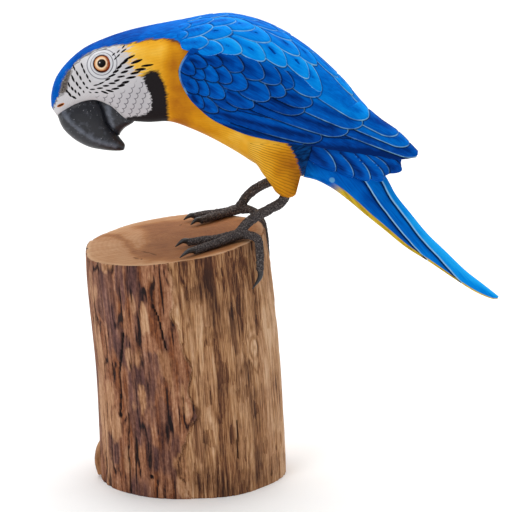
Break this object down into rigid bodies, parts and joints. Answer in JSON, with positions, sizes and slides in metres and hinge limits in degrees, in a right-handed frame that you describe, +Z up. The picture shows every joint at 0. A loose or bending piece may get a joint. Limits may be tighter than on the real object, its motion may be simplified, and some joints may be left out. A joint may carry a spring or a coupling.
{
  "type": "carved wooden macaw on a log",
  "caption": "Painted blue-and-yellow macaw carved in wood, crouching on wire legs at the edge of a rough upright log with a slanting sawn top.",
  "frame": {"origin": "middle of the log's flat base, where it stands on the floor", "axes": "+Z up; the bird looks along -X and its tail points to +X; its left side is towards -Y"},
  "size_m": [0.299, 0.1211, 0.3125],
  "materials": {
    "blue_paint": "carved feathers in blue paint under satin varnish",
    "yellow_paint": "carved wood in orange-yellow paint under satin varnish",
    "white_paint": "white painted face with black dashes and grey scales",
    "black_paint": "satin black paint",
    "eye_paint": "glossy painted eye, orange ring with a dark pupil",
    "coated_wire": "wire coated with rough grey paste",
    "log_wood": "bare weathered log, sawn top, fibrous sides"
  },
  "bodies": {
    "root": {"log": "log_wood", "trunk": "yellow_paint", "neck": "yellow_paint", "head": "white_paint", "beak_upper": "black_paint", "beak_lower": "black_paint", "eye_left": "eye_paint", "eye_right": "eye_paint", "back": "blue_paint", "wing_left": "blue_paint", "wing_right": "blue_paint", "rump": "blue_paint", "tail": "blue_paint", "thigh_left": "yellow_paint", "thigh_right": "yellow_paint", "leg_left": "coated_wire", "leg_right": "coated_wire", "foot_left": "coated_wire", "foot_right": "coated_wire", "claw_left_1": "black_paint", "claw_left_2": "black_paint", "claw_left_3": "black_paint", "claw_right_1": "black_paint", "claw_right_2": "black_paint", "claw_right_3": "black_paint"}
  },
  "joints": []
}
